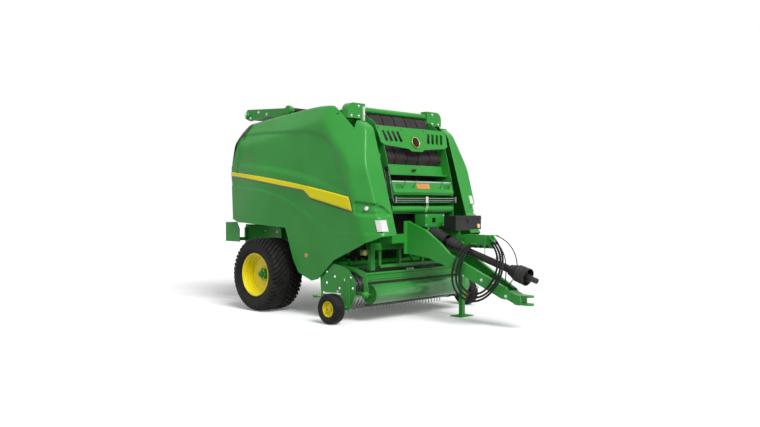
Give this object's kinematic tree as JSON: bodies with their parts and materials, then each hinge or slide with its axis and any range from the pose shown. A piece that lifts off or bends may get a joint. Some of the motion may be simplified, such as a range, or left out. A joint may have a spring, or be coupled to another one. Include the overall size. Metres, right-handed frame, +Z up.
{
  "type": "round baler",
  "caption": "Towed round baler with tined pickup, belt bale chamber, side shields, tailgate, drawbar, driveline and parking jack.",
  "frame": {"origin": "middle of the bounding box on the ground", "axes": "+Y towards the rear of the machine, +X towards its left, +Z up"},
  "size_m": [2.828, 4.9184, 2.935],
  "materials": {
    "green_paint": "semi-gloss paint",
    "rim_paint": "gloss paint",
    "tyre": "matt",
    "belt": "matt, fine ribbed",
    "black_plastic": "satin",
    "dark_plastic": "satin",
    "black_paint": "satin paint",
    "galvanised": "zinc coated",
    "steel": "oiled",
    "lamp_red": "moulded lens",
    "lamp_amber": "moulded lens",
    "lamp_white": "moulded lens",
    "hose": "matt"
  },
  "bodies": {
    "chassis": {"chassis_frame": "green_paint", "front_frame": "green_paint", "side_walls": "green_paint", "top_bar": "green_paint", "grille": "green_paint", "chamber_rollers": "galvanised", "front_belts": "belt", "front_pan": "green_paint", "net_box": "black_paint", "net_rods": "galvanised", "gearbox": "green_paint", "input_guard": "black_plastic", "driveline_guard": "black_plastic", "drawbar": "green_paint", "hitch_clevis": "green_paint", "jack_housing": "green_paint", "hose_holder": "green_paint", "toolbox": "black_plastic", "lift_frame": "green_paint", "lamp_brackets": "green_paint", "rear_lamps": "lamp_red", "amber_lamps": "lamp_amber", "net_drive": "galvanised", "hose_outer": "hose", "hose_middle": "hose", "hose_inner": "hose", "cable_near": "hose", "cable_far": "hose"},
    "wheel_right": {"tyre_right": "tyre", "rim_right": "rim_paint"},
    "wheel_left": {"tyre_left": "tyre", "rim_left": "rim_paint"},
    "gauge_wheel_right": {"gauge_tyre_right": "tyre", "gauge_rim_right": "rim_paint"},
    "gauge_wheel_left": {"gauge_tyre_left": "tyre", "gauge_rim_left": "rim_paint"},
    "shield_right": {"shield_right": "green_paint", "rear_strip_right": "dark_plastic", "side_mark_right": "lamp_amber"},
    "shield_left": {"shield_left": "green_paint", "rear_strip_left": "dark_plastic", "side_mark_left": "lamp_amber", "front_mark": "lamp_white"},
    "net_cover": {"net_lid": "green_paint"},
    "pto": {"pto_yoke": "black_paint"},
    "jack": {"jack_leg": "green_paint"},
    "toolbox_cover": {"toolbox_lid": "black_plastic"},
    "pickup": {"pickup_frame": "green_paint", "pickup_bands": "galvanised", "windguard": "green_paint"},
    "reel": {"pickup_reel": "steel"},
    "crop_roller": {"windguard_roller": "green_paint"},
    "rotor": {"feed_rotor": "green_paint"},
    "tailgate": {"gate_walls": "green_paint", "gate_cover": "green_paint", "gate_rollers": "galvanised", "gate_belts": "belt", "tension_arms": "green_paint", "arm_belts": "belt"}
  },
  "joints": [
    {"name": "wheel_right_spin", "type": "hinge", "parent": "chassis", "child": "wheel_right", "pos_m": [-1.07, 1.29895, 0.505], "axis": [1, 0, 0], "continuous": true},
    {"name": "wheel_left_spin", "type": "hinge", "parent": "chassis", "child": "wheel_left", "pos_m": [1.07, 1.29895, 0.505], "axis": [1, 0, 0], "continuous": true},
    {"name": "pickup_lift", "type": "hinge", "parent": "chassis", "child": "pickup", "pos_m": [0, 0.13895, 0.68], "axis": [-1, 0, 0], "range_deg": [0, 12]},
    {"name": "gauge_right_spin", "type": "hinge", "parent": "pickup", "child": "gauge_wheel_right", "pos_m": [-1.334, -0.33605, 0.19], "axis": [1, 0, 0], "continuous": true},
    {"name": "gauge_left_spin", "type": "hinge", "parent": "pickup", "child": "gauge_wheel_left", "pos_m": [1.334, -0.33605, 0.19], "axis": [1, 0, 0], "continuous": true},
    {"name": "reel_spin", "type": "hinge", "parent": "pickup", "child": "reel", "pos_m": [0, -0.15105, 0.365], "axis": [1, 0, 0], "continuous": true},
    {"name": "crop_roller_spin", "type": "hinge", "parent": "pickup", "child": "crop_roller", "pos_m": [0, -0.60105, 0.355], "axis": [1, 0, 0], "continuous": true},
    {"name": "rotor_spin", "type": "hinge", "parent": "chassis", "child": "rotor", "pos_m": [0, 0.40895, 0.56], "axis": [1, 0, 0], "continuous": true},
    {"name": "tailgate_open", "type": "hinge", "parent": "chassis", "child": "tailgate", "pos_m": [0, 0.81895, 2.6], "axis": [1, 0, 0], "range_deg": [0, 60]},
    {"name": "shield_right_open", "type": "hinge", "parent": "chassis", "child": "shield_right", "pos_m": [-0.885, 0.29895, 2.7], "axis": [0, 1, 0], "range_deg": [0, 50]},
    {"name": "shield_left_open", "type": "hinge", "parent": "chassis", "child": "shield_left", "pos_m": [0.885, 0.29895, 2.7], "axis": [0, -1, 0], "range_deg": [0, 50]},
    {"name": "jack_slide", "type": "slide", "parent": "chassis", "child": "jack", "axis": [0, 0, 1], "range_m": [0, 0.3]},
    {"name": "pto_spin", "type": "hinge", "parent": "chassis", "child": "pto", "pos_m": [0, -0.86105, 1.066], "axis": [0, -0.9568, -0.2907], "continuous": true},
    {"name": "net_cover_open", "type": "hinge", "parent": "chassis", "child": "net_cover", "pos_m": [0, -0.63605, 1.782], "axis": [-1, 0, 0], "range_deg": [0, 95]},
    {"name": "toolbox_open", "type": "hinge", "parent": "chassis", "child": "toolbox_cover", "pos_m": [0.34, -0.97605, 1.3003], "axis": [-1, 0, 0], "range_deg": [0, 80]}
  ]
}
